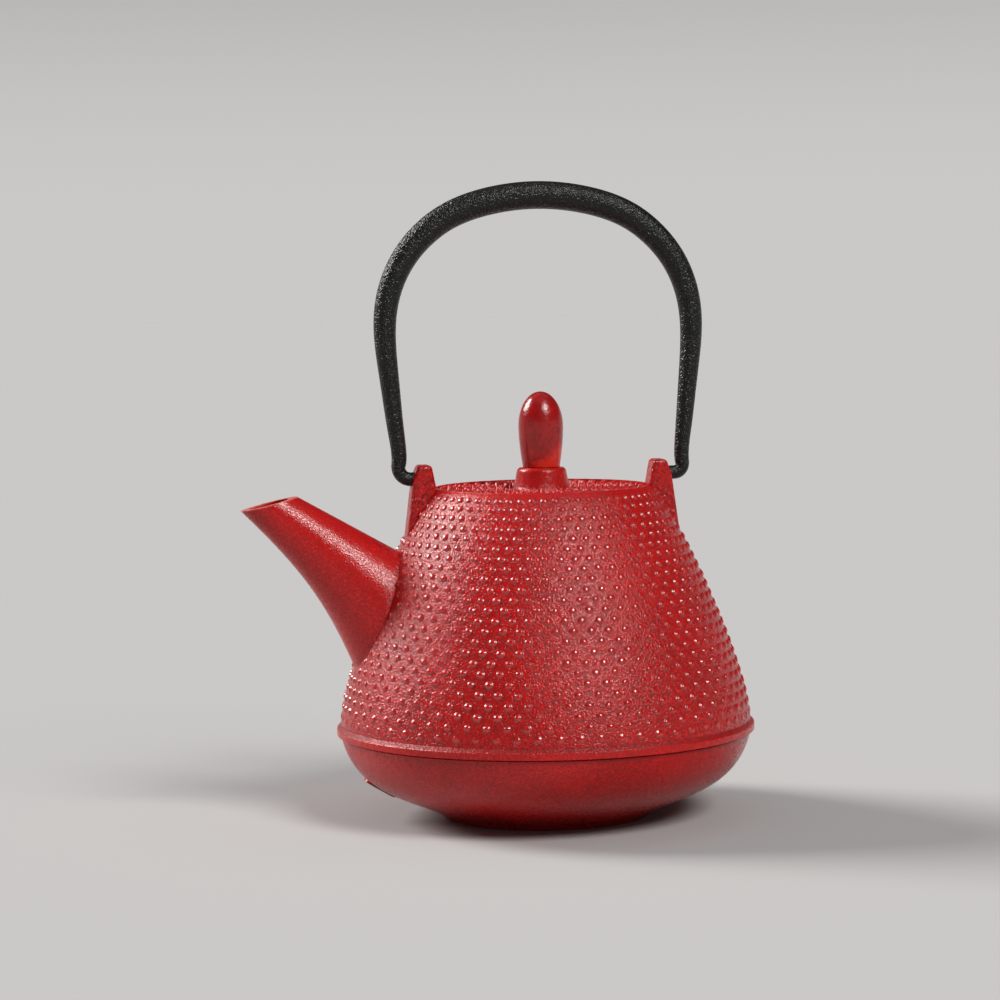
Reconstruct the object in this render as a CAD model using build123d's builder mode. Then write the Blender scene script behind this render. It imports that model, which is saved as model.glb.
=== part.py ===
from build123d import *
import os
from math import atan2, cos, degrees, hypot, radians, sin

os.makedirs("parts", exist_ok=True)

# A cast-iron teapot with a lift-out steel infuser basket, in millimetres. The pot's axis is Z
# and its foot stands on z = 0. The spout points along -X, and the bail swings about an axis
# along X through the two lugs.

# Pot: the outline of the bowl and of the wall above the belt
foot_radius = 37.0
foot_bevel = 1.5                    # rise and run of the foot's bevelled edge
belt_radius = 75.0
belt_height = 31.7                  # middle of the belt
belt_band = 2.1                     # height of the belt's outer face
belt_proud = 1.4                    # how far the belt stands out from the bowl and the wall
belt_bevel = 1.5                    # height of the slope above the outer face
crevice_height = 0.7                # the narrow crevice between the bowl and the belt
crevice_depth = 0.5
rim_radius = 38.9
rim_height = 118.3
rim_bevel = 0.4
bowl_fullness = ((0.35, 0.26), (0.87, 0.28))    # pull of each end of the curve, out and up
wall_fullness = ((0.05, 0.25), (0.73, 0.90))
wall_thickness = 4.0
enamel_thickness = 0.4

# Pot: the mouth, with the ledge that carries the infuser's flange
rim_land = 1.1                      # width of the rim around the lid
recess_depth = 4.7
ledge_width = 4.6
ledge_thickness = 3.2

# Pot: the spout. Its root lies inside the wall, its upper line is straight, and its lower
# line bows inwards
spout_root_top_height = 91.3
spout_root_bottom_height = 46.0
spout_root_top_depth = 11.2         # how far inside the wall's outer face the root lies
spout_root_bottom_depth = 6.4
spout_reach = 32.9                  # from the belt to the tip
spout_mouth_run = 20.0              # level distance across the mouth at the tip
spout_mouth_rise = 4.7
spout_tip_drop = 1.4                # from the pot's rim down to the tip's highest point
spout_bow = ((0.26, 0.44), (0.43, 0.63))        # pull of each end of the lower line
spout_root_width = 38.0
spout_tip_width = 15.4
spout_root_wall = 4.5
spout_tip_wall = 2.2
spout_stations = 7

# Pot: the ground-off casting gate on the bowl, below the spout
gate_way = 0.54                     # share of the way up the bowl's curve
gate_length = 13.0
gate_width = 9.0
gate_proud = 0.4

# Pot: the lugs that carry the bail
pivot_rise = 3.6                    # from the rim up to the bail's axis
lug_thickness = 9.6
lug_rise = 5.0                      # from the bail's axis to the lug's top
lug_rim_gap = 0.7                   # from the mouth's recess to the lug's inner face
lug_inner_lean = 1.6
lug_top_width = 4.8
lug_width = 8.3                     # at the bail's axis
lug_root_width = 10.9
lug_root_drop = 20.0                # from the bail's axis to the lug's lower end
lug_corner = 1.6
lug_edge = 1.3
socket_floor = 2.6                  # metal left behind the blind socket

# Bail handle
pin_radius = 2.45
pin_running_gap = 0.08
pin_end_gap = 0.5
bail_leg_offset = 4.8               # from the lug's outer face to the leg's centre
bail_left_bend = 4.4
bail_right_bend = 3.1
bail_splay = 3.8                    # how far the leg leans out up to the shoulder
bail_shoulder_rise = 54.1           # from the bail's axis
bail_crown_rise = 100.1
bail_crown_radius = 80.0
bail_shoulder_diameter = 8.0
bail_crown_diameter = 9.9
bail_spans = 20                     # between the bow's sections, from hook to hook

# Lid
lid_gap = 0.4
lid_drop = 1.1                      # from the pot's rim down to the lid's face
lid_edge_round = 0.6
skirt_gap = 0.9
skirt_thickness = 2.8
skirt_depth = 8.4
skirt_taper = 0.5
collar_radius = 8.6
collar_foot_radius = 9.9
collar_flare = 1.2
collar_height = 7.8
collar_round = 1.6
knob_foot_radius = 6.6
knob_radius = 8.0
knob_height = 27.1
knob_waist = 14.8                   # height of the widest place above the knob's foot
knob_fullness = ((0.47, 0.29), (1.0, 0.64))
knob_crown = ((0.0, 0.55), (0.45, 1.0))
knob_foot_round = 0.5

# Screw under the lid
screw_radius = 2.0
screw_fit = 0.05
screw_clearance = 0.2
screw_engagement = 10.0
screw_tip_gap = 2.0
screw_head_radius = 3.6
screw_head_height = 2.2
screw_head_round = 0.6
screw_point = 0.5
slot_width = 0.9
slot_depth = 1.1
washer_radius = 5.0
washer_thickness = 0.8

# Infuser
flange_gap = 1.0                    # between the flange and the mouth's recess
flange_thickness = 0.8
basket_gap = 1.4                    # between the basket's collar and the mouth
sheet = 0.6
rim_roll = 0.4
rim_collar_height = 12.6
basket_depth = 54.6                 # from the ledge to the underside of the basket
mesh_thickness = 0.5
mesh_fit = 0.05
mesh_lap = 7.0                      # length of the mesh inside the rim's collar
base_ring_height = 6.0
base_flange_width = 4.6
seam_width = 6.0
seam_thickness = 0.4
seam_end_gap = 0.2
window_columns = 14
window_width = 9.0
window_bar = 2.4                    # sheet left above and below the windows
perforation = 3.0
perforation_pitch = 5.4
perforation_margin = 2.0


def toward(start, end, share):
    """The point that lies the given share of the way from start to end, out and up."""
    return (
        start[0] + share[0] * (end[0] - start[0]),
        start[1] + share[1] * (end[1] - start[1]),
    )


def curve_controls(start, end, fullness):
    """The four control points of an outline's curve."""
    return [start, toward(start, end, fullness[0]), toward(start, end, fullness[1]), end]


def curve_point(controls, way):
    """The point at the given way along an outline's curve, from 0 to 1."""
    weights = ((1 - way) ** 3, 3 * way * (1 - way) ** 2, 3 * way**2 * (1 - way), way**3)
    return tuple(sum(w * point[axis] for w, point in zip(weights, controls)) for axis in (0, 1))


def curve_slope(controls, way):
    """The angle of an outline's curve there, in degrees above level."""
    step = 0.001
    before = curve_point(controls, way - step)
    after = curve_point(controls, way + step)
    return degrees(atan2(after[1] - before[1], after[0] - before[0]))


def radius_at(controls, height):
    """The radius of a rising curve at a height, found by halving."""
    low, high = 0.0, 1.0
    for _ in range(40):
        way = (low + high) / 2
        if curve_point(controls, way)[1] < height:
            low = way
        else:
            high = way
    return curve_point(controls, low)[0]


def inset(points, distance):
    """The points of a rising outline, moved square to it towards the axis."""
    moved = []
    for index, (radius, height) in enumerate(points):
        before = points[max(index - 1, 0)]
        after = points[min(index + 1, len(points) - 1)]
        out = after[0] - before[0]
        up = after[1] - before[1]
        length = hypot(out, up)
        moved.append((radius - distance * up / length, height + distance * out / length))
    return moved


# ---------------------------------------------------------------- shared places

bowl_start = (foot_radius + foot_bevel, foot_bevel)
belt_bottom = belt_height - belt_band / 2
belt_top = belt_height + belt_band / 2
bowl_end = (belt_radius - belt_proud, belt_bottom - crevice_height)
wall_start = (belt_radius - belt_proud, belt_top + belt_bevel)
wall_end = (rim_radius, rim_height - rim_bevel)
bowl_controls = curve_controls(bowl_start, bowl_end, bowl_fullness)
wall_controls = curve_controls(wall_start, wall_end, wall_fullness)

recess_radius = rim_radius - rim_land
ledge_height = rim_height - recess_depth
mouth_radius = recess_radius - ledge_width
mouth_bottom = ledge_height - 2 * ledge_thickness
lid_underside = ledge_height + flange_thickness
lid_top = rim_height - lid_drop
collar_top = lid_top + collar_height

pivot_height = rim_height + pivot_rise
lug_inner_x = recess_radius + lug_rim_gap
lug_outer_x = lug_inner_x + lug_width
lug_top = pivot_height + lug_rise
socket_end_x = lug_inner_x + socket_floor

spout_root_top = (
    spout_root_top_depth - radius_at(wall_controls, spout_root_top_height),
    spout_root_top_height,
)
spout_root_bottom = (
    spout_root_bottom_depth - radius_at(wall_controls, spout_root_bottom_height),
    spout_root_bottom_height,
)
spout_tip_bottom = (
    -belt_radius - spout_reach,
    rim_height - spout_tip_drop - spout_mouth_rise,
)
spout_tip_top = (spout_tip_bottom[0] + spout_mouth_run, rim_height - spout_tip_drop)


def cavity_face(distance):
    """Half section of the space inside the pot, the given distance in from its outside."""
    bowl = inset(bowl_controls, distance)
    wall = inset(wall_controls, distance)
    ceiling = ledge_height - ledge_thickness - (distance - wall_thickness)
    with BuildSketch(Plane.XZ) as section:
        with BuildLine():
            Line((0, bowl[0][1]), bowl[0])
            Bezier(*bowl)
            Line(bowl[-1], wall[0])
            Bezier(*wall)
            Polyline(wall[-1], (0, wall[-1][1]), (0, bowl[0][1]))
        make_face()
        with Locations((0, ceiling / 2)):
            Rectangle(4 * belt_radius, ceiling, mode=Mode.INTERSECT)
    return section.sketch


def spout_face(way, wall):
    """Section of the spout, the given way from root to tip, in by the given wall."""
    top = toward(spout_root_top, spout_tip_top, (way, way))
    bottom = curve_point(curve_controls(spout_root_bottom, spout_tip_bottom, spout_bow), way)
    chord = Vector(top[0] - bottom[0], top[1] - bottom[1])
    top_line = Vector(*spout_tip_top) - Vector(*spout_root_top)
    slant = sin(radians(top_line.get_angle(chord)))
    width = spout_root_width + way * (spout_tip_width - spout_root_width)
    plane = Plane(
        origin=((top[0] + bottom[0]) / 2, 0, (top[1] + bottom[1]) / 2),
        x_dir=(chord.X, 0, chord.Y),
        z_dir=(-chord.Y, 0, chord.X),
    )
    with BuildSketch(plane) as section:
        Ellipse(chord.length / 2 - wall / slant, width / 2 - wall)
    return section.sketch


def spout_sections(root_wall, tip_wall):
    """Sections of the spout from root to tip, all in by a wall that thins to the tip."""
    ways = [station / (spout_stations - 1) for station in range(spout_stations)]
    return [spout_face(way, root_wall + way * (tip_wall - root_wall)) for way in ways]


# ---------------------------------------------------------------- pot casting

with BuildPart() as pot_casting:
    # One lug, an upright fin in the plane of the bail, then its mirror image
    with BuildSketch(Plane.XZ):
        with BuildLine():
            Polyline(
                (lug_inner_x, ledge_height),
                (lug_inner_x, rim_height),
                (lug_inner_x + lug_inner_lean, lug_top),
                (lug_inner_x + lug_inner_lean + lug_top_width, lug_top),
                (lug_outer_x, pivot_height),
                (lug_inner_x + lug_root_width, pivot_height - lug_root_drop),
                close=True,
            )
        make_face()
    extrude(amount=lug_thickness / 2, both=True)
    fillet(pot_casting.edges().filter_by(Axis.Y).group_by(Axis.Z)[-1], lug_corner)
    fillet(pot_casting.faces().filter_by(Axis.Y).edges(), lug_edge)
    mirror(about=Plane.YZ)

    # Bowl, belt and wall
    with BuildSketch(Plane.XZ):
        with BuildLine():
            Polyline((0, 0), (foot_radius, 0), bowl_start)
            Bezier(*bowl_controls)
            Polyline(
                bowl_end,
                (bowl_end[0] - crevice_depth, belt_bottom),
                (belt_radius, belt_bottom),
                (belt_radius, belt_top),
                wall_start,
            )
            Bezier(*wall_controls)
            Polyline(wall_end, (rim_radius - rim_bevel, rim_height), (0, rim_height), (0, 0))
        make_face()
    revolve(axis=Axis.Z)

    # Spout
    loft(sections=spout_sections(0, 0))

    # Casting gate on the bowl below the spout, ground flat
    gate_radius, gate_height = curve_point(bowl_controls, gate_way)
    gate_slope = radians(curve_slope(bowl_controls, gate_way))
    gate_plane = Plane(
        origin=(-gate_radius, 0, gate_height),
        x_dir=(cos(gate_slope), 0, -sin(gate_slope)),
        z_dir=(-sin(gate_slope), 0, -cos(gate_slope)),
    )
    with BuildSketch(gate_plane.offset(gate_proud)):
        SlotOverall(gate_length, gate_width)
    extrude(amount=-wall_thickness)

    # Inside: the cavity, the recess and the mouth in its ledge, and the spout's channel
    revolve(cavity_face(wall_thickness), axis=Axis.Z, mode=Mode.SUBTRACT)
    with BuildSketch(Plane.XY.offset(ledge_height)):
        Circle(recess_radius)
    extrude(amount=recess_depth, mode=Mode.SUBTRACT)
    with BuildSketch(Plane.XY.offset(mouth_bottom)):
        Circle(mouth_radius)
    extrude(amount=ledge_height - mouth_bottom, mode=Mode.SUBTRACT)
    loft(sections=spout_sections(spout_root_wall, spout_tip_wall), mode=Mode.SUBTRACT)

    # Blind sockets for the bail's pins, open on the lugs' outer faces
    for side in (1, -1):
        with BuildSketch(Plane(origin=(side * socket_end_x, 0, pivot_height), z_dir=(side, 0, 0))):
            Circle(pin_radius + pin_running_gap)
        extrude(amount=lug_width, mode=Mode.SUBTRACT)
pot_casting.part.label = "pot_casting"
export_step(pot_casting.part, "parts/pot_casting.step")

# ---------------------------------------------------------------- enamel lining

with BuildPart() as enamel_lining:
    revolve(cavity_face(wall_thickness), axis=Axis.Z)
    revolve(cavity_face(wall_thickness + enamel_thickness), axis=Axis.Z, mode=Mode.SUBTRACT)
    with BuildSketch(Plane.XY.offset(mouth_bottom)):
        Circle(mouth_radius)
    extrude(amount=ledge_height - mouth_bottom, mode=Mode.SUBTRACT)
    loft(sections=spout_sections(spout_root_wall, spout_tip_wall), mode=Mode.SUBTRACT)
enamel_lining.part.label = "enamel_lining"
export_step(enamel_lining.part, "parts/enamel_lining.step")

# ---------------------------------------------------------------- bail handle

bail_leg_x = lug_outer_x + bail_leg_offset
shoulder_x = bail_leg_x + bail_splay
shoulder_height = pivot_height + bail_shoulder_rise
crown_height = pivot_height + bail_crown_rise

# The side arc leaves the shoulder upright and meets the crown's arc without a kink
crown_over_shoulder = crown_height - shoulder_height
bail_side_radius = (
    2 * bail_crown_radius * crown_over_shoulder - shoulder_x**2 - crown_over_shoulder**2
) / (2 * (bail_crown_radius - shoulder_x))
crown_centre_height = crown_height - bail_crown_radius
crown_lean = atan2(shoulder_x - bail_side_radius, shoulder_height - crown_centre_height)
crown_end_x = bail_crown_radius * sin(crown_lean)
crown_end_height = crown_centre_height + bail_crown_radius * cos(crown_lean)


def bail_diameter(height):
    """The bow's thickness at a height: it swells from the hooks to the crown."""
    if height < shoulder_height:
        share = (height - pivot_height) / bail_shoulder_rise
        return 2 * pin_radius + share * (bail_shoulder_diameter - 2 * pin_radius)
    share = (height - shoulder_height) / crown_over_shoulder
    return bail_shoulder_diameter + share * (bail_crown_diameter - bail_shoulder_diameter)


with BuildPart() as bail_handle:
    # Bow from hook to hook
    with BuildLine(Plane.XZ) as bow:
        Spline(
            (bail_leg_x, pivot_height + bail_right_bend),
            (shoulder_x, shoulder_height),
            tangents=((0, 1), (0, 1)),
        )
        RadiusArc(
            (shoulder_x, shoulder_height), (crown_end_x, crown_end_height), -bail_side_radius
        )
        RadiusArc(
            (crown_end_x, crown_end_height), (-crown_end_x, crown_end_height), -bail_crown_radius
        )
        RadiusArc(
            (-crown_end_x, crown_end_height), (-shoulder_x, shoulder_height), -bail_side_radius
        )
        Spline(
            (-shoulder_x, shoulder_height),
            (-bail_leg_x, pivot_height + bail_left_bend),
            tangents=((0, -1), (0, -1)),
        )
    bow_wire = bow.wire()
    for span_end in range(bail_spans + 1):
        way = span_end / bail_spans
        with BuildSketch(Plane(origin=bow_wire @ way, x_dir=(0, 1, 0), z_dir=bow_wire % way)):
            Circle(bail_diameter((bow_wire @ way).Z) / 2)
    loft()

    # Pin and hook on each side
    for side, bend_radius in ((1, bail_right_bend), (-1, bail_left_bend)):
        with BuildLine(Plane.XZ) as hook:
            pin = Line(
                (side * (socket_end_x + pin_end_gap), pivot_height),
                (side * (bail_leg_x - bend_radius), pivot_height),
            )
            TangentArc(pin @ 1, (side * bail_leg_x, pivot_height + bend_radius), tangent=pin % 1)
        with BuildSketch(Plane(origin=pin @ 0, z_dir=pin % 0)):
            Circle(pin_radius)
        sweep(path=hook.wire())
bail_handle.part.label = "bail_handle"
export_step(bail_handle.part, "parts/bail_handle.step")

# ---------------------------------------------------------------- lid

lid_radius = recess_radius - lid_gap
basket_outer = mouth_radius - basket_gap
mesh_outer = basket_outer - sheet - mesh_fit
mesh_inner = mesh_outer - mesh_thickness
skirt_outer_radius = mesh_inner - skirt_gap

with BuildPart() as lid_casting:
    # Plate, and the tapered collar that flares at its foot
    with BuildSketch(Plane.XZ):
        with BuildLine():
            Polyline(
                (0, collar_top),
                (0, lid_underside),
                (lid_radius, lid_underside),
                (lid_radius, lid_top),
                (collar_foot_radius + collar_flare, lid_top),
            )
            Spline(
                (collar_foot_radius + collar_flare, lid_top),
                (collar_foot_radius, lid_top + collar_flare),
                tangents=((-1, 0), (collar_radius - collar_foot_radius, collar_height)),
            )
            Polyline(
                (collar_foot_radius, lid_top + collar_flare),
                (collar_radius, collar_top),
                (0, collar_top),
            )
        make_face()
    revolve(axis=Axis.Z)
    fillet(lid_casting.edges().group_by(Axis.Z)[-1], collar_round)
    plate_edges = lid_casting.edges().filter_by(GeomType.CIRCLE).group_by(SortBy.RADIUS)[-1]
    fillet(plate_edges.sort_by(Axis.Z)[-1], lid_edge_round)

    # Skirt that hangs inside the infuser's mouth, tapered on both faces
    with BuildSketch(Plane.XZ):
        with BuildLine():
            Polyline(
                (skirt_outer_radius, lid_underside),
                (skirt_outer_radius - skirt_taper, lid_underside - skirt_depth),
                (skirt_outer_radius - skirt_thickness + skirt_taper, lid_underside - skirt_depth),
                (skirt_outer_radius - skirt_thickness, lid_underside),
                close=True,
            )
        make_face()
    revolve(axis=Axis.Z)

    # Clearance hole for the knob's screw
    with BuildSketch(Plane.XY.offset(lid_underside)):
        Circle(screw_radius + screw_clearance)
    extrude(amount=collar_top - lid_underside, mode=Mode.SUBTRACT)
lid_casting.part.label = "lid_casting"
export_step(lid_casting.part, "parts/lid_casting.step")

with BuildPart() as lid_knob:
    waist = collar_top + knob_waist
    with BuildSketch(Plane.XZ):
        with BuildLine():
            Line((0, collar_top), (knob_foot_radius, collar_top))
            Bezier(*curve_controls((knob_foot_radius, collar_top), (knob_radius, waist), knob_fullness))
            Bezier(*curve_controls((knob_radius, waist), (0, collar_top + knob_height), knob_crown))
            Line((0, collar_top + knob_height), (0, collar_top))
        make_face()
    revolve(axis=Axis.Z)
    fillet(lid_knob.edges().group_by(Axis.Z)[0], knob_foot_round)
    with BuildSketch(Plane.XY.offset(collar_top)):
        Circle(screw_radius + screw_fit)
    extrude(amount=screw_engagement + screw_tip_gap, mode=Mode.SUBTRACT)
lid_knob.part.label = "lid_knob"
export_step(lid_knob.part, "parts/lid_knob.step")

# ---------------------------------------------------------------- knob screw and washer

with BuildPart() as knob_washer:
    with BuildSketch(Plane.XY.offset(lid_underside - washer_thickness)):
        Circle(washer_radius)
        Circle(screw_radius + screw_clearance, mode=Mode.SUBTRACT)
    extrude(amount=washer_thickness)
knob_washer.part.label = "knob_washer"
export_step(knob_washer.part, "parts/knob_washer.step")

with BuildPart() as knob_screw:
    head_seat = lid_underside - washer_thickness
    with BuildSketch(Plane.XY.offset(head_seat)):
        Circle(screw_radius)
    extrude(amount=collar_top + screw_engagement - head_seat)
    chamfer(knob_screw.edges().group_by(Axis.Z)[-1], screw_point)
    with BuildSketch(Plane.XY.offset(head_seat - screw_head_height)):
        Circle(screw_head_radius)
    extrude(amount=screw_head_height)
    fillet(knob_screw.edges().group_by(Axis.Z)[0], screw_head_round)
    with BuildSketch(Plane.XY.offset(head_seat - screw_head_height)):
        Rectangle(2 * screw_head_radius, slot_width)
    extrude(amount=slot_depth, mode=Mode.SUBTRACT)
knob_screw.part.label = "knob_screw"
export_step(knob_screw.part, "parts/knob_screw.step")

# ---------------------------------------------------------------- infuser

basket_inner = basket_outer - sheet
flange_radius = recess_radius - flange_gap
basket_bottom = ledge_height - basket_depth
mesh_bottom = basket_bottom + sheet
rim_collar_bottom = ledge_height - rim_collar_height
mesh_top = rim_collar_bottom + mesh_lap
base_ring_inner = mesh_outer + mesh_fit

with BuildPart() as infuser_rim:
    with BuildSketch(Plane.XZ):
        with BuildLine():
            Polyline(
                (basket_inner, lid_underside),
                (flange_radius, lid_underside),
                (flange_radius, ledge_height),
                (basket_outer, ledge_height),
                (basket_outer, rim_collar_bottom),
                (basket_inner, rim_collar_bottom),
                close=True,
            )
        make_face()
    revolve(axis=Axis.Z)
    inner_edges = infuser_rim.edges().filter_by(GeomType.CIRCLE).group_by(SortBy.RADIUS)[0]
    fillet(inner_edges.sort_by(Axis.Z)[-1], rim_roll)
infuser_rim.part.label = "infuser_rim"
export_step(infuser_rim.part, "parts/infuser_rim.step")

with BuildPart() as infuser_mesh_wall:
    with BuildSketch(Plane.XY.offset(mesh_bottom)):
        Circle(mesh_outer)
        Circle(mesh_inner, mode=Mode.SUBTRACT)
    extrude(amount=mesh_top - mesh_bottom)

    # Tall windows between the base ring and the rim's collar stand for the open mesh
    window_bottom = basket_bottom + base_ring_height + window_bar
    window_top = rim_collar_bottom - window_bar
    with BuildSketch(Plane.XY.offset(window_bottom)):
        with PolarLocations(mesh_outer, window_columns, start_angle=180 / window_columns):
            Rectangle(4 * mesh_thickness, window_width)
    extrude(amount=window_top - window_bottom, mode=Mode.SUBTRACT)
infuser_mesh_wall.part.label = "infuser_mesh_wall"
export_step(infuser_mesh_wall.part, "parts/infuser_mesh_wall.step")

with BuildPart() as infuser_base_ring:
    with BuildSketch(Plane.XZ):
        with BuildLine():
            Polyline(
                (base_ring_inner - base_flange_width, basket_bottom),
                (base_ring_inner + sheet, basket_bottom),
                (base_ring_inner + sheet, basket_bottom + base_ring_height),
                (base_ring_inner, basket_bottom + base_ring_height),
                (base_ring_inner, mesh_bottom),
                (base_ring_inner - base_flange_width, mesh_bottom),
                close=True,
            )
        make_face()
    revolve(axis=Axis.Z)
    outer_edges = infuser_base_ring.edges().filter_by(GeomType.CIRCLE).group_by(SortBy.RADIUS)[-1]
    fillet(outer_edges.sort_by(Axis.Z)[0], rim_roll)
infuser_base_ring.part.label = "infuser_base_ring"
export_step(infuser_base_ring.part, "parts/infuser_base_ring.step")

with BuildPart() as infuser_mesh_floor:
    floor_radius = mesh_inner - mesh_fit
    with BuildSketch(Plane.XY.offset(mesh_bottom)):
        Circle(floor_radius)
        perforated_radius = base_ring_inner - base_flange_width - perforation_margin
        across = int(2 * perforated_radius / perforation_pitch)
        with HexLocations(perforation_pitch / 2, across, across) as pattern:
            spots = [spot.position for spot in pattern.local_locations]
        with Locations(*[spot for spot in spots if spot.length < perforated_radius]):
            Circle(perforation / 2, mode=Mode.SUBTRACT)
    extrude(amount=mesh_thickness)
infuser_mesh_floor.part.label = "infuser_mesh_floor"
export_step(infuser_mesh_floor.part, "parts/infuser_mesh_floor.step")

# The strip covers the mesh's lap seam, on the side away from the spout
with BuildPart() as infuser_seam_strip:
    seam_bottom = basket_bottom + base_ring_height + seam_end_gap
    seam_top = rim_collar_bottom - seam_end_gap
    with BuildSketch(Plane.XY.offset(seam_bottom)):
        Circle(mesh_outer + mesh_fit + seam_thickness)
        Circle(mesh_outer + mesh_fit, mode=Mode.SUBTRACT)
        with Locations((mesh_outer, 0)):
            Rectangle(mesh_outer, seam_width, mode=Mode.INTERSECT)
    extrude(amount=seam_top - seam_bottom)
infuser_seam_strip.part.label = "infuser_seam_strip"
export_step(infuser_seam_strip.part, "parts/infuser_seam_strip.step")
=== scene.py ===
import math
import random

import bmesh
import bpy
from mathutils import Matrix, Vector
from mathutils.bvhtree import BVHTree


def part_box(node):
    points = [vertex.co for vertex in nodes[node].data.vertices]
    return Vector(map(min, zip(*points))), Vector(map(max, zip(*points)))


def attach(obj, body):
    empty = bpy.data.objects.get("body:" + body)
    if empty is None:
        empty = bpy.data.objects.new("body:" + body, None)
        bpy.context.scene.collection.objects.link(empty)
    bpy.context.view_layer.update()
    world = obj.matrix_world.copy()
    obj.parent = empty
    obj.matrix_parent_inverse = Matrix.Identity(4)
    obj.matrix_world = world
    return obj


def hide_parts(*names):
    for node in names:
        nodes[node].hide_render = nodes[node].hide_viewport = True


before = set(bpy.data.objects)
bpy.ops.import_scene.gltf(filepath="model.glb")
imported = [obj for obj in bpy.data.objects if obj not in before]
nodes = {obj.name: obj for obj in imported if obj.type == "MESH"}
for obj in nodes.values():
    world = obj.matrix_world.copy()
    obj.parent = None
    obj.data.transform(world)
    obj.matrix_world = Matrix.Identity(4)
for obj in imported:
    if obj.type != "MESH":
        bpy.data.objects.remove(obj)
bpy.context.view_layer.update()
mm = 0.001
print("frame loaded:", len(nodes), "CAD nodes")

cameraSettings = {
    "target": (-0.0152, 0.0, 0.1136),
    "azimuth": -9.0,        # degrees, negative stands to the left of the front
    "distance": 1.1,
    "height": 0.1919,
    "roll": -1.0,
    "fieldOfView": 18.42,
    "clip": (0.05, 40),
}


def makeCamera(s):
    target = Vector(s["target"])
    turn = math.radians(s["azimuth"])
    place = target + Vector((math.sin(turn), -math.cos(turn), 0)) * s["distance"]
    place.z = s["height"]
    data = bpy.data.cameras.new("camera")
    data.angle = math.radians(s["fieldOfView"])
    data.clip_start, data.clip_end = s["clip"]
    cam = bpy.data.objects.new("camera", data)
    bpy.context.scene.collection.objects.link(cam)
    aim = (target - place).to_track_quat("-Z", "Y").to_matrix().to_4x4()
    roll = Matrix.Rotation(math.radians(s["roll"]), 4, "Z")
    cam.matrix_world = Matrix.Translation(place) @ aim @ roll
    bpy.context.scene.camera = cam


makeCamera(cameraSettings)
bpy.context.scene.view_settings.view_transform = "Standard"

studioSettings = {
    "floorColor": (0.43, 0.427, 0.424, 1),
    "floorSize": 30.0,
    "horizonColor": (0.5935, 0.5825, 0.5705, 1),    # as bright as the lit floor, so no edge shows
    "upperColor": (0.05, 0.05, 0.053, 1),
    "climb": (0.02, 0.27),      # sine of the height where the backdrop starts and stops darkening
    "skyColor": (0.95, 0.97, 1.0, 1),
    "skyStrength": 0.14,
    "lampDistance": 1.5,
    "lamps": {      # bearing and height in degrees, spread in degrees, strength, colour
        "keyLeft": ((148, 33), 26, 3.6, (1.0, 0.98, 0.96)),
        "frontRight": ((-62, 42), 24, 2.5, (1.0, 0.98, 0.96)),
        "topSoft": ((90, 84), 70, 0.3, (0.97, 0.98, 1.0)),
    },
}


def makeFloor(s):
    bm = bmesh.new()
    bmesh.ops.create_grid(bm, x_segments=1, y_segments=1, size=s["floorSize"] / 2)
    mesh = bpy.data.meshes.new("floor")
    bm.to_mesh(mesh)
    bm.free()
    floor = bpy.data.objects.new("floor", mesh)
    bpy.context.scene.collection.objects.link(floor)
    mat = bpy.data.materials.new("floorPaper")
    mat.use_nodes = True
    shader = mat.node_tree.nodes["Principled BSDF"]
    shader.inputs["Base Color"].default_value = s["floorColor"]
    shader.inputs["Roughness"].default_value = 1.0
    shader.inputs["Specular IOR Level"].default_value = 0.0
    mesh.materials.append(mat)


def makeBackdrop(s):
    # The sky lights the scene evenly, and what is seen of it is a backdrop that darkens upwards
    world = bpy.data.worlds.new("studio")
    world.use_nodes = True
    tree = world.node_tree
    light = tree.nodes["Background"]
    light.inputs["Color"].default_value = s["skyColor"]
    light.inputs["Strength"].default_value = s["skyStrength"]
    coords = tree.nodes.new("ShaderNodeTexCoord")
    split = tree.nodes.new("ShaderNodeSeparateXYZ")
    tree.links.new(coords.outputs["Generated"], split.inputs[0])
    climb = tree.nodes.new("ShaderNodeMapRange")
    climb.interpolation_type = "SMOOTHSTEP"
    climb.inputs["From Min"].default_value, climb.inputs["From Max"].default_value = s["climb"]
    tree.links.new(split.outputs["Z"], climb.inputs["Value"])
    shade = tree.nodes.new("ShaderNodeMix")
    shade.data_type = "RGBA"
    shade.inputs[6].default_value = s["horizonColor"]
    shade.inputs[7].default_value = s["upperColor"]
    tree.links.new(climb.outputs["Result"], shade.inputs[0])
    seen = tree.nodes.new("ShaderNodeBackground")
    tree.links.new(shade.outputs[2], seen.inputs["Color"])
    path = tree.nodes.new("ShaderNodeLightPath")
    direct = path.outputs["Is Camera Ray"]
    for ray in ("Is Glossy Ray", "Is Transmission Ray"):
        either = tree.nodes.new("ShaderNodeMath")
        either.operation = "MAXIMUM"
        tree.links.new(direct, either.inputs[0])
        tree.links.new(path.outputs[ray], either.inputs[1])
        direct = either.outputs[0]
    pick = tree.nodes.new("ShaderNodeMixShader")
    tree.links.new(direct, pick.inputs[0])
    tree.links.new(light.outputs[0], pick.inputs[1])
    tree.links.new(seen.outputs[0], pick.inputs[2])
    tree.links.new(pick.outputs[0], tree.nodes["World Output"].inputs["Surface"])
    bpy.context.scene.world = world


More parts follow.
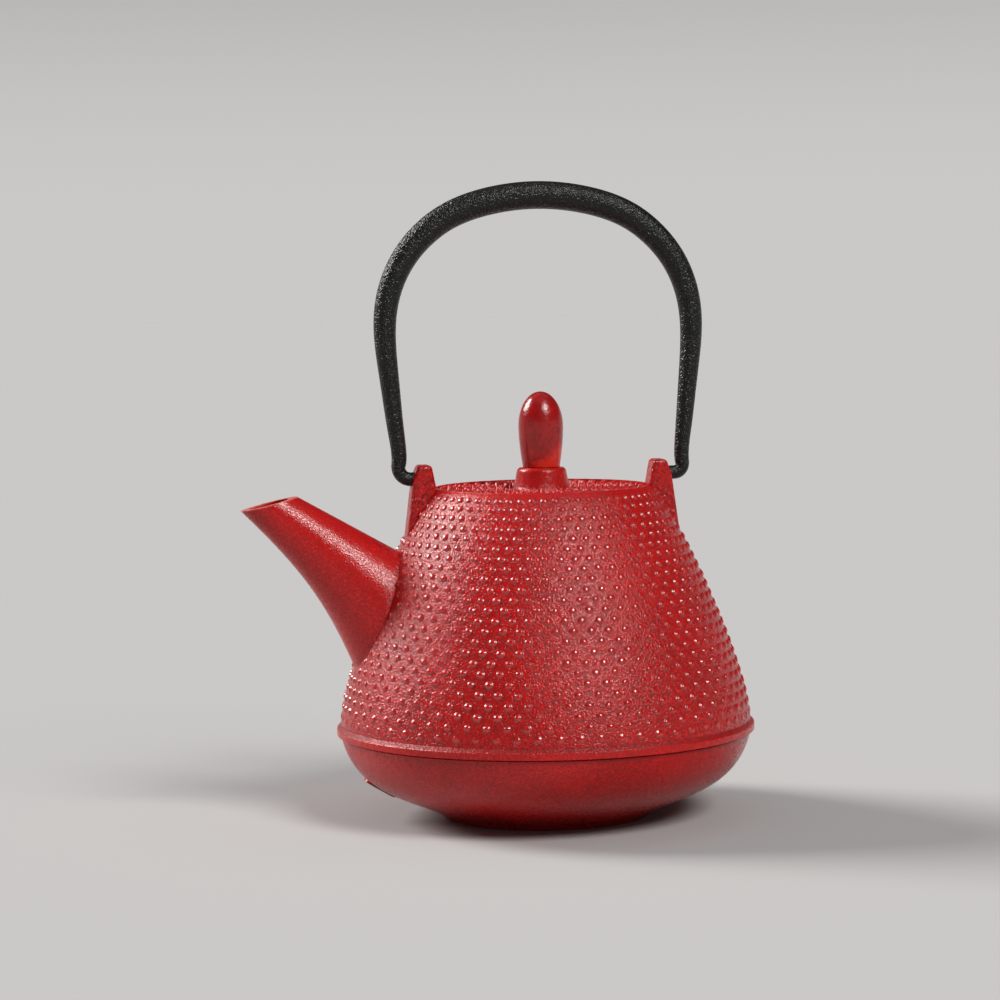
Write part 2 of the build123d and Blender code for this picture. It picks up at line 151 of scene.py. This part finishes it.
def makeLamps(s):
    for name, ((bearing, height), spread, strength, color) in s["lamps"].items():
        data = bpy.data.lights.new(name, "SUN")
        data.angle = math.radians(spread)
        data.energy = strength
        data.color = color
        lamp = bpy.data.objects.new(name, data)
        bpy.context.scene.collection.objects.link(lamp)
        flat = math.cos(math.radians(height))
        out = Vector((
            math.cos(math.radians(bearing)) * flat,
            math.sin(math.radians(bearing)) * flat,
            math.sin(math.radians(height)),
        ))
        lamp.location = out * s["lampDistance"]
        lamp.rotation_mode = "QUATERNION"
        lamp.rotation_quaternion = (-out).to_track_quat("-Z", "Y")


makeFloor(studioSettings)
makeBackdrop(studioSettings)
makeLamps(studioSettings)
print("camera, floor and lamps set")


def treeOf(nodeName):
    bm = bmesh.new()
    bm.from_mesh(nodes[nodeName].data)
    tree = BVHTree.FromBMesh(bm)
    bm.free()
    return tree


castingTree = treeOf("pot_casting")
lidTree = treeOf("lid_casting")


def wallOutline(low, high, steps):
    # The casting's outline from the front, where neither spout nor lug stands
    points = []
    for i in range(steps + 1):
        height = low + (high - low) * i / steps
        hit = castingTree.ray_cast(Vector((0, -0.2, height)), Vector((0, 1, 0)))[0]
        points.append((hit.xy.length, height))
    return points


# Small helpers for the node trees

class Nodes:
    def __init__(self, name):
        self.mat = bpy.data.materials.new(name)
        self.mat.use_nodes = True
        self.tree = self.mat.node_tree
        self.shader = self.tree.nodes["Principled BSDF"]
        self.coords = self.tree.nodes.new("ShaderNodeTexCoord").outputs["Object"]

    def put(self, socket, value):
        if isinstance(value, bpy.types.NodeSocket):
            self.tree.links.new(value, socket)
        elif value is not None:
            socket.default_value = value

    def math(self, operation, a, b=None, clamp=False):
        node = self.tree.nodes.new("ShaderNodeMath")
        node.operation = operation
        node.use_clamp = clamp
        self.put(node.inputs[0], a)
        self.put(node.inputs[1], b)
        return node.outputs[0]

    def times(self, a, b):
        return self.math("MULTIPLY", a, b)

    def noise(self, size, detail=2.0, roughness=0.5, coords=None):
        node = self.tree.nodes.new("ShaderNodeTexNoise")
        self.put(node.inputs["Vector"], coords or self.coords)
        node.inputs["Scale"].default_value = 1 / size
        node.inputs["Detail"].default_value = detail
        node.inputs["Roughness"].default_value = roughness
        return node.outputs[0]

    def cells(self, size, smoothness):
        node = self.tree.nodes.new("ShaderNodeTexVoronoi")
        node.feature = "SMOOTH_F1"
        self.put(node.inputs["Vector"], self.coords)
        node.inputs["Scale"].default_value = 1 / size
        node.inputs["Smoothness"].default_value = smoothness
        return node.outputs["Distance"]

    def remap(self, value, low, high, toLow=0.0, toHigh=1.0, smooth=True):
        node = self.tree.nodes.new("ShaderNodeMapRange")
        node.interpolation_type = "SMOOTHSTEP" if smooth else "LINEAR"
        self.put(node.inputs["Value"], value)
        self.put(node.inputs["From Min"], low)
        self.put(node.inputs["From Max"], high)
        self.put(node.inputs["To Min"], toLow)
        self.put(node.inputs["To Max"], toHigh)
        return node.outputs["Result"]

    def blend(self, share, a, b):
        node = self.tree.nodes.new("ShaderNodeMix")
        node.data_type = "RGBA"
        self.put(node.inputs[0], share)
        self.put(node.inputs[6], a)
        self.put(node.inputs[7], b)
        return node.outputs[2]

    def axes(self):
        node = self.tree.nodes.new("ShaderNodeSeparateXYZ")
        self.put(node.inputs[0], self.coords)
        return node.outputs

    def fromAxis(self):
        x, y, z = self.axes()
        return self.math("SQRT", self.math("ADD", self.times(x, x), self.times(y, y)))

    def alongPlane(self, plane):
        # How far a point lies in the direction (x, z)
        x, y, z = self.axes()
        return self.math("ADD", self.times(x, plane[0]), self.times(z, plane[1]))

    def curve(self, value, points):
        node = self.tree.nodes.new("ShaderNodeFloatCurve")
        line = node.mapping.curves[0]
        line.points[0].location = points[0]
        line.points[-1].location = points[-1]
        for point in points[1:-1]:
            line.points.new(*point)
        node.mapping.update()
        self.put(node.inputs["Value"], value)
        return node.outputs[0]

    def attribute(self, name):
        node = self.tree.nodes.new("ShaderNodeAttribute")
        node.attribute_name = name
        return node.outputs["Fac"]

    def bump(self, height, distance, strength=1.0, normal=None):
        node = self.tree.nodes.new("ShaderNodeBump")
        self.put(node.inputs["Height"], height)
        node.inputs["Distance"].default_value = distance
        self.put(node.inputs["Strength"], strength)
        self.put(node.inputs["Normal"], normal)
        return node.outputs["Normal"]

    def set(self, **values):
        for name, value in values.items():
            self.put(self.shader.inputs[name.replace("_", " ")], value)
        return self.mat


redPaint = {
    "color": (0.47, 0.0026, 0.0028, 1),
    "thinCoatHighlightColor": (0.64, 0.012, 0.008, 1),       # on the high spots: where the coat is thin, and a painted highlight
    # Darker in the pits: pooled paint and painted shade; also used for the painted shade at the
    # nail feet and on the belt's bevel
    "pitShadeColor": (0.17, 0.0012, 0.0014, 1),
    "cloudSize": 26 * mm,
    "cloudShare": 0.30,
    "grainSize": 0.58 * mm,
    "grainDetail": 1.0,
    "sandSize": 0.82 * mm,
    "grainMix": (0.80, -0.40, 0.29),    # shares of noise and sand, and what centres their sum
    "grainDepth": 0.32 * mm,
    "pits": (0.36, 0.50),       # levels of the grain where pits end and high spots begin
    "pitShare": 0.8,
    "highs": (0.52, 0.68),
    "highShare": 0.7,
    "fineSize": 0.40 * mm,
    "fineDepth": 0.08 * mm,
    "lumpSize": 3.2 * mm,
    "lumpDepth": 0.16 * mm,
}


def mixGrain(n, s):
    noiseShare, sandShare, level = s["grainMix"]
    noise = n.times(n.noise(s["grainSize"], s["grainDetail"]), noiseShare)
    sand = n.times(n.cells(s["sandSize"], 0.2), sandShare)
    return n.math("ADD", n.math("ADD", noise, sand), level)


# Random clouds, with the grain's pits darkened and its high spots lightened: partly the coat's
# own pooling and thinning, partly painted shade and painted highlight
def coatTone(n, s, grain, share):
    cloud = n.remap(n.noise(s["cloudSize"]), 0.35, 0.7, 0.0, s["cloudShare"])
    pits = n.times(n.remap(grain, *s["pits"], 1, 0), share)
    tone = n.blend(cloud, s["color"], s["pitShadeColor"])
    tone = n.blend(n.times(n.remap(grain, *s["highs"]), s["highShare"]), tone, s["thinCoatHighlightColor"])
    return n.blend(n.times(pits, s["pitShare"]), tone, s["pitShadeColor"])


def coatNormal(n, s, relief, share):
    normal = n.bump(n.noise(s["lumpSize"], 1.5), s["lumpDepth"])
    normal = n.bump(relief, s["grainDepth"], share, normal)
    return n.bump(n.noise(s["fineSize"], 2.0, 0.55), s["fineDepth"], share, normal)


castingFinish = {
    "roughness": (0.40, 0.12),      # in the pits and on the high spots
    "gloss": 0.42,
    # Share of the grain's depth on each part
    "wallGrain": 1.0,
    "bowlGrain": 0.45,
    "spoutGrain": 0.40,
    "lugGrain": 1.5,
    "rimLoss": 0.45,
    "collarLoss": 0.62,
    "leastGrain": 0.2,
    # Where the parts begin and end
    "outline": (34.5 * mm, 118 * mm, 9),
    "outlineScale": (90 * mm, 130 * mm),
    "aboveBelt": (32.5 * mm, 32.9 * mm),
    "proud": (0.6 * mm, 2.2 * mm),      # spout and lugs stand off the wall
    "lugWidth": (6.0 * mm, 8.5 * mm),
    "lugReach": (62 * mm, 60 * mm),
    "lugFoot": (92 * mm, 99 * mm),
    "rimHeight": (116.2 * mm, 116.9 * mm),
    "rimRadius": (37.3 * mm, 37.8 * mm),
    "collarHeight": (118.6 * mm, 119.6 * mm),
    "collarRadius": (14 * mm, 16 * mm),
    "bevel": ((33.0 * mm, 33.3 * mm), (34.2 * mm, 34.8 * mm)),
    # Painted shade on the belt's bevel: share of the dark pit red
    "bevelPaintedShade": 0.55,
    "bevelRoughness": 0.35,
    # Coarser pebbles on the lugs
    "leatherSize": 1.7 * mm,
    "leatherShare": 0.85,
    # Lip of the spout, paler: worn paint and a painted highlight
    "lipWearHighlightColor": (0.72, 0.16, 0.125, 1),
    "lipPlane": (-0.2288, 0.9737),
    "lip": (133.39 * mm, 133.84 * mm),
    "lipFrom": (-84 * mm, -86 * mm),
    "lipPatches": (0.10, 0.80),
    # Dark pad where the iron was poured in
    "gateColor": (0.014, 0.011, 0.011, 1),
    "gatePlane": (-0.5156, -0.8568),
    "gate": (21.38 * mm, 21.50 * mm),
    "gateShare": 0.92,
}


def findParts(n, s):
    # Where the spout and the lugs are, and how deep the grain is everywhere
    x, y, z = n.axes()
    fromAxis = n.fromAxis()
    wide, tall = s["outlineScale"]
    outline = [(h / tall, r / wide) for r, h in wallOutline(*s["outline"])]
    wall = n.times(n.curve(n.math("DIVIDE", z, tall), outline), wide)
    aboveBelt = n.remap(z, *s["aboveBelt"])
    off = n.times(n.remap(n.math("SUBTRACT", fromAxis, wall), *s["proud"]), aboveBelt)
    lug = n.times(off, n.remap(n.math("ABSOLUTE", y), *s["lugWidth"], 1, 0))
    lug = n.times(lug, n.remap(n.math("ABSOLUTE", x), *s["lugReach"], 0, 1))
    lug = n.times(lug, n.remap(z, *s["lugFoot"]))
    spout = n.math("SUBTRACT", off, lug, clamp=True)
    share = n.remap(aboveBelt, 0, 1, s["bowlGrain"], s["wallGrain"], smooth=False)
    losses = (
        n.times(spout, s["wallGrain"] - s["spoutGrain"]),
        n.times(lug, s["wallGrain"] - s["lugGrain"]),
        n.times(n.remap(z, *s["rimHeight"], 0, s["rimLoss"]), n.remap(fromAxis, *s["rimRadius"])),
        n.times(n.remap(z, *s["collarHeight"]),
                n.remap(fromAxis, *s["collarRadius"], s["collarLoss"], 0)),
    )
    for loss in losses:
        share = n.math("SUBTRACT", share, loss)
    return lug, n.math("MAXIMUM", share, s["leastGrain"])


def makeCastingPaint(s, paint):
    n = Nodes("redPaint")
    x, y, z = n.axes()
    grain = mixGrain(n, paint)
    lug, share = findParts(n, s)
    leather = n.math("SUBTRACT", 0.92, n.times(n.cells(s["leatherSize"], 0.25), 0.95))
    change = n.times(n.math("SUBTRACT", leather, grain), lug)
    relief = n.math("ADD", grain, n.times(change, s["leatherShare"]))
    tone = coatTone(n, paint, grain, share)
    # Paler patches on the spout's lip: wear and a painted highlight
    lip = n.remap(n.alongPlane(s["lipPlane"]), *s["lip"])
    lip = n.times(lip, n.remap(x, *s["lipFrom"]))
    lip = n.times(lip, n.remap(n.noise(1.3 * mm), 0.36, 0.62, *s["lipPatches"]))
    tone = n.blend(lip, tone, s["lipWearHighlightColor"])
    gate = n.remap(n.alongPlane(s["gatePlane"]), *s["gate"], 0, s["gateShare"])
    tone = n.blend(gate, tone, s["gateColor"])
    # Painted shade on the belt's bevel, which faces the light; the same band is also made rougher
    rising, falling = s["bevel"]
    bevel = n.times(n.remap(z, *rising, 0, s["bevelPaintedShade"]), n.remap(z, *falling, 1, 0))
    tone = n.blend(bevel, tone, paint["pitShadeColor"])
    rough = n.remap(grain, 0.36, 0.60, *s["roughness"])
    rough = n.math("ADD", rough, n.times(bevel, s["bevelRoughness"]))
    return n.set(Base_Color=tone, Roughness=rough, Specular_IOR_Level=s["gloss"],
                 Normal=coatNormal(n, paint, relief, share))


nailFinish = {
    "roughness": (0.30, 0.13),      # at the foot and at the top
    "rise": (0.15, 0.80),
    "grain": 0.16,
    "pits": 0.15,
    # Foot darker with pooled paint and painted shade; top lighter with wear and a painted
    # highlight
    "footPaintedShade": 0.75,
    "topWearAndHighlight": 0.25,
    "gloss": (1.0, 0.30),       # on the pot, and on the flat lid, which is seen from low down
    "lidFrom": (116.6 * mm, 117.1 * mm),
}


def makeNailPaint(s, paint):
    n = Nodes("nailPaint")
    x, y, z = n.axes()
    grain = mixGrain(n, paint)
    top = n.remap(n.attribute("rise"), *s["rise"])
    tone = coatTone(n, paint, grain, s["pits"])
    # Painted shade at each nail's foot, partly pooled paint; painted highlight on its top, partly
    # wear
    foot = n.times(n.math("SUBTRACT", 1, top), s["footPaintedShade"])
    tone = n.blend(foot, tone, paint["pitShadeColor"])
    tone = n.blend(n.times(top, s["topWearAndHighlight"]), tone, paint["thinCoatHighlightColor"])
    return n.set(Base_Color=tone, Normal=coatNormal(n, paint, grain, s["grain"]),
                 Roughness=n.remap(top, 0, 1, *s["roughness"], smooth=False),
                 Specular_IOR_Level=n.remap(z, *s["lidFrom"], *s["gloss"]))


knobPaint = {
    "color": (0.33, 0.0035, 0.004, 1),
    "brightPatchAndLightColor": (0.62, 0.022, 0.010, 1),
    "darkColor": (0.10, 0.0015, 0.002, 1),
    "lit": (124 * mm, 138 * mm),    # painted light: brighter low down and to the right on the knob
    "litSide": (-5 * mm, 6 * mm),
    "mottleSize": 1.1 * mm,
    "patchSize": 4.6 * mm,
    "roughness": (0.30, 0.17),
    "gloss": 0.5,
    "ripple": (0.8 * mm, 0.07 * mm),    # size and depth
    "swell": (3.0 * mm, 0.16 * mm),
}


def makeKnobPaint(s):
    n = Nodes("knobPaint")
    x, y, z = n.axes()
    mottle = n.noise(s["mottleSize"], 2, 0.6)
    patch = n.noise(s["patchSize"], 2, 0.55)
    # Painted light: brighter low on the knob and towards its right, mixed with random bright
    # patches
    lit = n.times(n.remap(z, *s["lit"], 0.55, 0.0), n.remap(x, *s["litSide"], 0.25, 1.0))
    bright = n.remap(n.math("ADD", patch, lit), 0.60, 0.90)
    tone = n.blend(n.remap(mottle, 0.34, 0.60), s["darkColor"], s["color"])
    tone = n.blend(n.remap(patch, 0.40, 0.62, 0.5, 0.85), tone, s["color"])
    tone = n.blend(n.times(bright, 0.9), tone, s["brightPatchAndLightColor"])
    normal = None
    for size, depth in (s["ripple"], s["swell"]):
        normal = n.bump(n.noise(size, 1.5), depth, normal=normal)
    return n.set(Base_Color=tone, Normal=normal, Specular_IOR_Level=s["gloss"],
                 Roughness=n.remap(mottle, 0.3, 0.7, *s["roughness"]))


blackIron = {
    "color": (0.0020, 0.0020, 0.0022, 1),
    "highColor": (0.020, 0.0187, 0.0167, 1),
    "highs": (0.52, 0.72),
    "grainSize": 0.66 * mm,
    "grainDetail": 1.5,
    "sandSize": 1.1 * mm,
    "grainMix": (0.8, -0.35, 0.27),
    "grainDepth": 0.55 * mm,
    "lumpSize": 4.2 * mm,
    "lumpDepth": 0.30 * mm,
    "roughness": (0.38, 0.22),
    "gloss": 0.36,
}


def makeBlackIron(s):
    n = Nodes("blackIron")
    grain = mixGrain(n, s)
    tone = n.blend(n.remap(grain, *s["highs"]), s["color"], s["highColor"])
    normal = n.bump(n.noise(s["lumpSize"], 1.5), s["lumpDepth"])
    normal = n.bump(grain, s["grainDepth"], normal=normal)
    return n.set(Base_Color=tone, Normal=normal, Specular_IOR_Level=s["gloss"],
                 Roughness=n.remap(grain, 0.35, 0.65, *s["roughness"]))


blackEnamel = {
    "colors": ((0.010, 0.010, 0.011, 1), (0.022, 0.022, 0.024, 1)),
    "cloudSize": 17 * mm,
    "rippleSize": 4.5 * mm,
    "rippleDepth": 0.05 * mm,
    "roughness": 0.16,
    "coat": 0.4,
}


def makeEnamel(s):
    n = Nodes("blackEnamel")
    tone = n.blend(n.noise(s["cloudSize"]), *s["colors"])
    normal = n.bump(n.noise(s["rippleSize"]), s["rippleDepth"])
    return n.set(Base_Color=tone, Roughness=s["roughness"], Normal=normal,
                 Coat_Weight=s["coat"])


steel = {
    "colors": ((0.52, 0.52, 0.51, 1), (0.66, 0.66, 0.65, 1)),
    "stainColor": (0.40, 0.39, 0.375, 1),
    "stainSize": 7 * mm,
    "stainShare": 0.25,
    "lineDepth": 0.004 * mm,
    "roughnessRange": 0.08,
}


def makeSteel(name, s, roughness, lineSize):
    n = Nodes(name)
    x, y, z = n.axes()
    spun = n.tree.nodes.new("ShaderNodeCombineXYZ")     # the lines left by spinning run round
    n.put(spun.inputs["X"], n.fromAxis())
    n.put(spun.inputs["Y"], z)
    lines = n.noise(lineSize, 3, 0.65, coords=spun.outputs[0])
    stain = n.remap(n.noise(s["stainSize"]), 0.5, 0.75, 0, s["stainShare"])
    tone = n.blend(stain, n.blend(lines, *s["colors"]), s["stainColor"])
    rough = n.remap(lines, 0.35, 0.65, roughness, roughness + s["roughnessRange"])
    return n.set(Base_Color=tone, Metallic=1.0, Roughness=rough,
                 Normal=n.bump(lines, s["lineDepth"]))


materials = {
    "redPaint": makeCastingPaint(castingFinish, redPaint),
    "nailPaint": makeNailPaint(nailFinish, redPaint),
    "knobPaint": makeKnobPaint(knobPaint),
    "blackIron": makeBlackIron(blackIron),
    "blackEnamel": makeEnamel(blackEnamel),
    "satinSteel": makeSteel("satinSteel", steel, 0.24, 0.35 * mm),
    "wireSteel": makeSteel("wireSteel", steel, 0.30, 0.6 * mm),
}
nodeFinish = {
    "pot_casting": "redPaint",
    "lid_casting": "redPaint",
    "lid_knob": "knobPaint",
    "bail_handle": "blackIron",
    "enamel_lining": "blackEnamel",
    "knob_screw": "satinSteel",
    "knob_washer": "satinSteel",
    "infuser_rim": "satinSteel",
    "infuser_seam_strip": "satinSteel",
    "infuser_base_ring": "satinSteel",
    "infuser_mesh_wall": "wireSteel",
    "infuser_mesh_floor": "wireSteel",
}
for nodeName, finish in nodeFinish.items():
    nodes[nodeName].data.materials.clear()
    nodes[nodeName].data.materials.append(materials[finish])
print("materials made")


def everything(bm):
    return bm.verts[:] + bm.edges[:] + bm.faces[:]


def vertsOf(geom):
    return [g for g in geom if isinstance(g, bmesh.types.BMVert)]


def edgesOf(geom):
    return [g for g in geom if isinstance(g, bmesh.types.BMEdge)]


def addPiece(name, bm, material, body, replaces=()):
    mesh = bpy.data.meshes.new(name)
    bm.to_mesh(mesh)
    bm.free()
    mesh.polygons.foreach_set("use_smooth", [True] * len(mesh.polygons))
    mesh.materials.append(materials[material])
    piece = bpy.data.objects.new(name, mesh)
    bpy.context.scene.collection.objects.link(piece)
    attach(piece, body)
    if replaces:
        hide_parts(*replaces)
    print("made", name, len(mesh.polygons), "faces")
    return piece


# Raised nails, each a small peg whose foot flares into the wall

nailShape = {
    "profile": (        # shares of the foot's radius and of the rise
        (1.00, -0.10), (0.81, 0.14), (0.64, 0.54), (0.50, 0.85), (0.36, 0.975),
    ),
    "sides": 10,
}


def makeNail(bm, s):
    rise = bm.verts.layers.float.new("rise")
    verts = [bm.verts.new((r, 0, h)) for r, h in s["profile"]]
    edges = [bm.edges.new(pair) for pair in zip(verts, verts[1:])]
    bmesh.ops.spin(bm, geom=verts + edges, cent=(0, 0, 0), axis=(0, 0, 1),
                   angle=math.tau, steps=s["sides"], use_merge=True)
    ring = [e for e in bm.edges if e.is_boundary and e.verts[0].co.z > 0.5]
    top = bmesh.ops.contextual_create(bm, geom=ring)["faces"]
    for v in bmesh.ops.poke(bm, faces=top)["verts"]:
        v.co.z = 1.0
    bmesh.ops.recalc_face_normals(bm, faces=bm.faces[:])
    for v in bm.verts:
        v[rise] = max(v.co.z, 0)
    return everything(bm)


def scatterNails(name, rows, body):
    whole = bmesh.new()
    whole.verts.layers.float.new("rise")
    rowMesh = bpy.data.meshes.new("nailRow")
    for spots in rows:
        bm = bmesh.new()
        template = makeNail(bm, nailShape)
        for place, normal, radius, rise in spots:
            verts = vertsOf(bmesh.ops.duplicate(bm, geom=template)["geom"])
            turn = normal.to_track_quat("Z", "Y").to_matrix().to_4x4()
            spin = Matrix.Rotation(random.uniform(0, math.tau), 4, "Z")
            size = Matrix.Diagonal((radius, radius, rise, 1))
            bmesh.ops.transform(bm, matrix=Matrix.Translation(place) @ turn @ spin @ size,
                                verts=verts)
        bmesh.ops.delete(bm, geom=vertsOf(template), context="VERTS")
        bm.to_mesh(rowMesh)
        bm.free()
        whole.from_mesh(rowMesh)
    bpy.data.meshes.remove(rowMesh)
    return addPiece(name, whole, "nailPaint", body)


potNails = {
    "rows": 24,
    "perRow": 64,
    "firstTurn": 0.922,         # of a step, so the rows meet the spout as cast
    "lowest": 37.2 * mm,        # height of the lowest row above the foot
    "highest": 115.7 * mm,
    "radius": (1.56 * mm, 1.34 * mm),       # in the lowest and the highest row
    "rise": (0.62 * mm, 0.54 * mm),
    "fadedRows": 2,             # the lowest rows are shallower
    "unevenness": 0.12,
    "wander": 0.10 * mm,
    "clearOf": 1.3 * mm,        # kept clear of the spout and the lugs
    "tolerance": 0.35 * mm,     # a nail sits only where the wall is this even
}


def placePotNails(s):
    random.seed(11)
    steps, span, probe = 400, 3, 40 * mm
    outline = wallOutline(s["lowest"], s["highest"], steps)
    lengths = [0]
    for a, b in zip(outline, outline[1:]):
        lengths.append(lengths[-1] + math.dist(a, b))
    rows = []
    for row in range(s["rows"]):
        share = row / (s["rows"] - 1)
        index = min(range(steps + 1), key=lambda i: abs(lengths[i] - share * lengths[-1]))
        radius, height = outline[index]
        low, high = outline[max(index - span, 0)], outline[min(index + span, steps)]
        slope = Vector((high[1] - low[1], low[0] - high[0])).normalized()
        fade = min(1, (row + 1.5) / (s["fadedRows"] + 1))
        spots = []
        for i in range(s["perRow"]):
            azimuth = math.tau * (i + 0.5 * (row % 2) + s["firstTurn"]) / s["perRow"]
            azimuth += random.gauss(0, s["wander"]) / radius
            out = Vector((math.cos(azimuth), math.sin(azimuth), 0))
            place = out * radius + Vector((0, 0, height + random.gauss(0, s["wander"])))
            normal = (out * slope.x + Vector((0, 0, slope.y))).normalized()
            size = 1 + random.uniform(-1, 1) * s["unevenness"]
            nailRadius = size * (s["radius"][0] + share * (s["radius"][1] - s["radius"][0]))
            rise = fade * size * (s["rise"][0] + share * (s["rise"][1] - s["rise"][0]))
            across = normal.cross(Vector((0, 0, 1))).normalized() * s["clearOf"]
            along = normal.cross(across)
            start = place + normal * probe
            hits = [
                castingTree.ray_cast(start + side, -normal, probe + 10 * mm)[0]
                for side in (Vector(), across, -across, along, -along)
            ]
            offsets = [probe - (hit - start).length if hit else 1 for hit in hits]
            if max(abs(o) for o in offsets) < s["tolerance"]:
                spots.append((place + normal * offsets[0], normal, nailRadius, rise))
        rows.append(spots)
    return rows


scatterNails("pot_hobnails", placePotNails(potNails), "pot")

lidNails = {
    "rings": 8,
    "perRing": 40,
    "innerRadius": 15.6 * mm,
    "outerRadius": 35.7 * mm,
    "radius": (1.05 * mm, 1.50 * mm),       # in the inner and the outer ring
    "rise": 1.15 * mm,
    "unevenness": (0.92, 1.06),
}


def placeLidNails(s):
    random.seed(12)
    top = lidTree.ray_cast(Vector((s["outerRadius"], 0, 1)), Vector((0, 0, -1)))[0].z
    rings = []
    for ring in range(s["rings"]):
        share = ring / (s["rings"] - 1)
        radius = s["innerRadius"] + share * (s["outerRadius"] - s["innerRadius"])
        spots = []
        for i in range(s["perRing"]):
            azimuth = math.tau * (i + 0.5 * (ring % 2)) / s["perRing"]
            place = Vector((math.cos(azimuth) * radius, math.sin(azimuth) * radius, top))
            size = random.uniform(*s["unevenness"])
            nailRadius = size * (s["radius"][0] + share * (s["radius"][1] - s["radius"][0]))
            spots.append((place, Vector((0, 0, 1)), nailRadius, size * s["rise"]))
        rings.append(spots)
    return rings


scatterNails("lid_hobnails", placeLidNails(lidNails), "lid")

# The infuser's woven steel, in the place of the plain sheet and floor

wallWeave = {
    "wire": 0.24 * mm,
    "uprights": 160,            # even, so the weave closes round the basket
    "rowStep": 1.21 * mm,
    "inset": 0.25 * mm,         # middle of the wires, from the outside of the sheet
}
floorWeave = {
    "wire": 0.24 * mm,
    "step": 1.25 * mm,
    "edge": 0.3 * mm,           # left free inside the ring that clamps it
}
sway = 0.46         # how far a wire's middle goes to each side, in wires
joinWithin = 0.002 * mm


def swing(i):
    # A wire lies on one side, level, on the other side and level again, half a crossing each
    return math.cos(math.pi * (i + 1) / 2) - math.cos(math.pi * i / 2)


def startRing(bm, wire, matrix):
    made = bmesh.ops.create_circle(bm, segments=4, radius=wire / 2, matrix=matrix)["verts"]
    return list({e for v in made for e in v.link_edges})


def drawWire(bm, ring, stepTo, steps):
    # Pulls the ring of vertices along, one step at a time
    for i in range(steps):
        drawn = bmesh.ops.extrude_edge_only(bm, edges=ring)["geom"]
        verts = vertsOf(drawn)
        bmesh.ops.transform(bm, matrix=stepTo(i), verts=verts)
        ring = [e for e in edgesOf(drawn) if e.verts[0] in verts and e.verts[1] in verts]


def spinRound(bm, times):
    bmesh.ops.spin(bm, geom=everything(bm), cent=(0, 0, 0), axis=(0, 0, 1), angle=math.tau,
                   steps=times, use_duplicate=True)
    bmesh.ops.remove_doubles(bm, verts=bm.verts[:], dist=joinWithin)


def wallSize(s):
    low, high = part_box("infuser_mesh_wall")
    return high[0] - s["inset"], low[2], high[2]


def makeUprights(s):
    radius, low, high = wallSize(s)
    bm = bmesh.new()
    steps = 2 * int((high - low) / s["rowStep"])
    lift = (high - low) / steps
    for odd, side in enumerate((1, -1)):
        shift = side * sway * s["wire"]
        start = Matrix.Translation((radius + shift, 0, low))
        before = set(bm.verts)

        def stepTo(i):
            return Matrix.Translation((shift * swing(i), 0, lift))

        drawWire(bm, startRing(bm, s["wire"], start), stepTo, steps)
        bmesh.ops.transform(bm, matrix=Matrix.Rotation(odd * math.tau / s["uprights"], 4, "Z"),
                            verts=[v for v in bm.verts if v not in before])
    spinRound(bm, s["uprights"] // 2)
    return bm


def makeHoops(s):
    radius, low, high = wallSize(s)
    bm = bmesh.new()
    rows = int((high - low) / s["rowStep"])
    turnStep = math.tau / s["uprights"] / 2
    shift = sway * s["wire"]
    upright = Matrix.Rotation(math.pi / 2, 4, "X")
    start = Matrix.Translation((radius - shift, 0, 0)) @ upright

    def stepTo(i):
        back = Matrix.Rotation(-turnStep * i, 4, "Z")
        onward = Matrix.Rotation(turnStep * (i + 1), 4, "Z")
        return onward @ Matrix.Translation((-shift * swing(i), 0, 0)) @ back

    drawWire(bm, startRing(bm, s["wire"], start), stepTo, 4)
    spinRound(bm, s["uprights"] // 2)
    hoop = everything(bm)
    for row in range(1, rows):
        verts = vertsOf(bmesh.ops.duplicate(bm, geom=hoop)["geom"])
        turn = Matrix.Rotation((row % 2) * math.tau / s["uprights"], 4, "Z")
        lift = Matrix.Translation((0, 0, (high - low) * row / rows))
        bmesh.ops.transform(bm, matrix=lift @ turn, verts=verts)
    bmesh.ops.translate(bm, vec=(0, 0, low + (high - low) / rows / 2), verts=bm.verts[:])
    return bm


def makeFloorWeave(s):
    low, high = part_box("infuser_mesh_floor")
    reach = high[0] - s["edge"]
    level = (low[2] + high[2]) / 2
    step = s["step"]
    count = 2 * int(reach / step) + 1
    bm = bmesh.new()
    for way, side in ((0, 1), (1, -1)):
        before = set(bm.verts)
        for odd, sign in ((0, -side), (1, side)):
            shift = sign * sway * s["wire"]
            first = Matrix.Translation((-(count // 2) * step, (odd - count // 2) * step, shift))

            def stepTo(i):
                return Matrix.Translation((step / 2, 0, shift * swing(i)))

            ring = startRing(bm, s["wire"], first @ Matrix.Rotation(math.pi / 2, 4, "Y"))
            drawWire(bm, ring, stepTo, 2 * (count - 1))
        pair = [v for v in bm.verts if v not in before]
        geom = pair + list({e for v in pair for e in v.link_edges})
        geom += list({f for v in pair for f in v.link_faces})
        for i in range(1, (count + 1) // 2):
            verts = vertsOf(bmesh.ops.duplicate(bm, geom=geom)["geom"])
            bmesh.ops.translate(bm, vec=(0, 2 * i * step, 0), verts=verts)
        if way:
            made = [v for v in bm.verts if v not in before]
            bmesh.ops.transform(bm, matrix=Matrix.Rotation(math.pi / 2, 4, "Z"), verts=made)
    outside = [v for v in bm.verts if v.co.xy.length > reach]
    bmesh.ops.delete(bm, geom=outside, context="VERTS")
    bmesh.ops.translate(bm, vec=(0, 0, level), verts=bm.verts[:])
    return bm


addPiece("infuser_uprights", makeUprights(wallWeave), "wireSteel", "infuser",
         ("infuser_mesh_wall",))
addPiece("infuser_hoops", makeHoops(wallWeave), "wireSteel", "infuser")
addPiece("infuser_floor_weave", makeFloorWeave(floorWeave), "wireSteel", "infuser",
         ("infuser_mesh_floor",))
